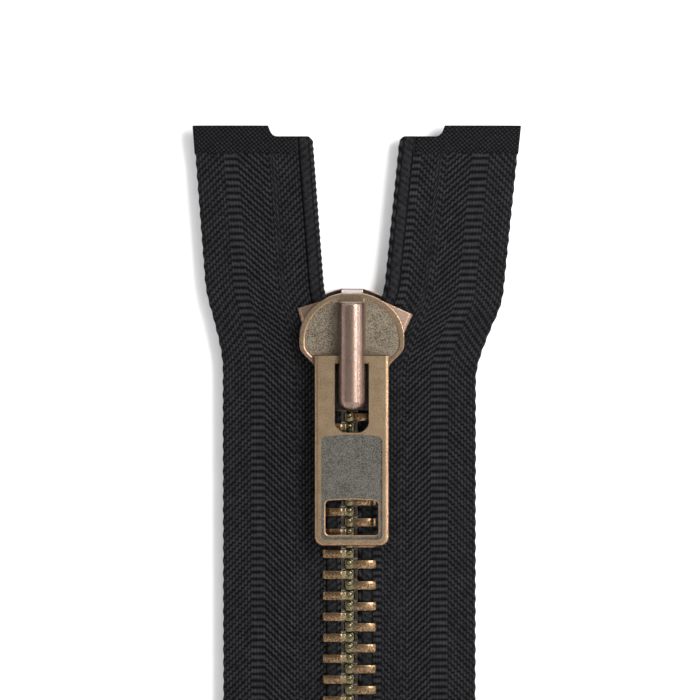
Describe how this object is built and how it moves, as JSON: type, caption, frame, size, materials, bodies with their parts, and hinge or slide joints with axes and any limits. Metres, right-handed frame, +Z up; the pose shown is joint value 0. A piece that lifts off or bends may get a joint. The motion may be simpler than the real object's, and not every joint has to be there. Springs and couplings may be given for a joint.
{
  "type": "zipper",
  "caption": "Heavy metal separating zipper: two woven black tapes with clamped brass teeth, a self-locking slider with a windowed pull tab, top stops and a box-and-pin bottom end.",
  "frame": {"origin": "on the closed chain's centre line, in the tapes' middle plane, at the tapes' bottom edge", "axes": "+Z up along the chain, from the separating end towards the tape tops; -Y is the front, where the pull hangs; +X is to the right seen from the front"},
  "size_m": [0.055, 0.0106, 0.1139],
  "materials": {
    "woven_tape": "black woven polyester, herringbone twill",
    "fused_film": "clear film fused to black tape, satin",
    "tooth_brass": "antique brass, worn bright on the edges",
    "aged_brass": "antique brass plating on a sand-textured casting",
    "aged_copper": "aged copper-brown plating, polished",
    "spring_steel": "plain"
  },
  "bodies": {
    "bottom_end": {"left_tape_end": "woven_tape", "right_tape_end": "woven_tape", "left_bottom_film": "fused_film", "right_bottom_film": "fused_film", "retainer_box": "aged_brass", "box_pin": "aged_brass", "insertion_pin": "aged_brass", "left_tooth_01": "tooth_brass", "right_tooth_01": "tooth_brass"},
    "left_stringer": {"left_tape": "woven_tape", "left_tooth_02": "tooth_brass", "left_tooth_03": "tooth_brass", "left_tooth_04": "tooth_brass", "left_tooth_05": "tooth_brass", "left_tooth_06": "tooth_brass", "left_tooth_07": "tooth_brass", "left_tooth_08": "tooth_brass", "left_tooth_09": "tooth_brass", "left_tooth_10": "tooth_brass", "left_tooth_11": "tooth_brass", "left_tooth_12": "tooth_brass", "left_tooth_13": "tooth_brass", "left_tooth_14": "tooth_brass", "left_tooth_15": "tooth_brass", "left_tooth_16": "tooth_brass", "left_tooth_17": "tooth_brass", "left_top_film": "fused_film", "left_top_stop": "aged_copper"},
    "right_stringer": {"right_tape": "woven_tape", "right_tooth_02": "tooth_brass", "right_tooth_03": "tooth_brass", "right_tooth_04": "tooth_brass", "right_tooth_05": "tooth_brass", "right_tooth_06": "tooth_brass", "right_tooth_07": "tooth_brass", "right_tooth_08": "tooth_brass", "right_tooth_09": "tooth_brass", "right_tooth_10": "tooth_brass", "right_tooth_11": "tooth_brass", "right_tooth_12": "tooth_brass", "right_tooth_13": "tooth_brass", "right_tooth_14": "tooth_brass", "right_tooth_15": "tooth_brass", "right_tooth_16": "tooth_brass", "right_tooth_17": "tooth_brass", "right_top_film": "fused_film", "right_top_stop": "aged_copper"},
    "slider": {"slider_body": "aged_brass", "slider_cover": "aged_copper", "leaf_spring": "spring_steel"},
    "pull": {"pull_tab": "aged_brass"},
    "locking_pin": {"locking_pin": "spring_steel"}
  },
  "joints": [
    {"name": "slider_travel", "type": "slide", "parent": "bottom_end", "child": "slider", "axis": [0, 0, 1], "range_m": [-0.0531, 0], "deforming": ["left_tape", "left_tooth_02", "left_tooth_03", "left_tooth_04", "left_tooth_05", "left_tooth_06", "left_tooth_07", "left_tooth_08", "left_tooth_09", "left_tooth_10", "left_tooth_11", "left_tooth_12", "left_tooth_13", "left_tooth_14", "left_tooth_15", "left_tooth_16", "left_tooth_17", "right_tape", "right_tooth_02", "right_tooth_03", "right_tooth_04", "right_tooth_05", "right_tooth_06", "right_tooth_07", "right_tooth_08", "right_tooth_09", "right_tooth_10", "right_tooth_11", "right_tooth_12", "right_tooth_13", "right_tooth_14", "right_tooth_15", "right_tooth_16", "right_tooth_17"]},
    {"name": "left_splay", "type": "hinge", "parent": "bottom_end", "child": "left_stringer", "pos_m": [-0.0014, 0, 0.0198], "axis": [0, 1, 0], "range_deg": [-10, 0]},
    {"name": "right_splay", "type": "hinge", "parent": "bottom_end", "child": "right_stringer", "pos_m": [0.0014, 0, 0.0198], "axis": [0, 1, 0], "range_deg": [0, 12]},
    {"name": "pull_swing", "type": "hinge", "parent": "slider", "child": "pull", "pos_m": [0.0004, -0.0041, 0.0751], "axis": [-1, 0, 0], "range_deg": [0, 175]},
    {"name": "pin_lift", "type": "slide", "parent": "slider", "child": "locking_pin", "axis": [0, -1, 0], "range_m": [0, 0.00055]}
  ],
  "couplings": [
    {"joint": "left_splay", "follows": "slider_travel", "rad_per_m": 3.2865},
    {"joint": "right_splay", "follows": "slider_travel", "rad_per_m": -3.9438},
    {"joint": "pin_lift", "follows": "pull_swing", "m_per_rad": 0.00018005}
  ]
}
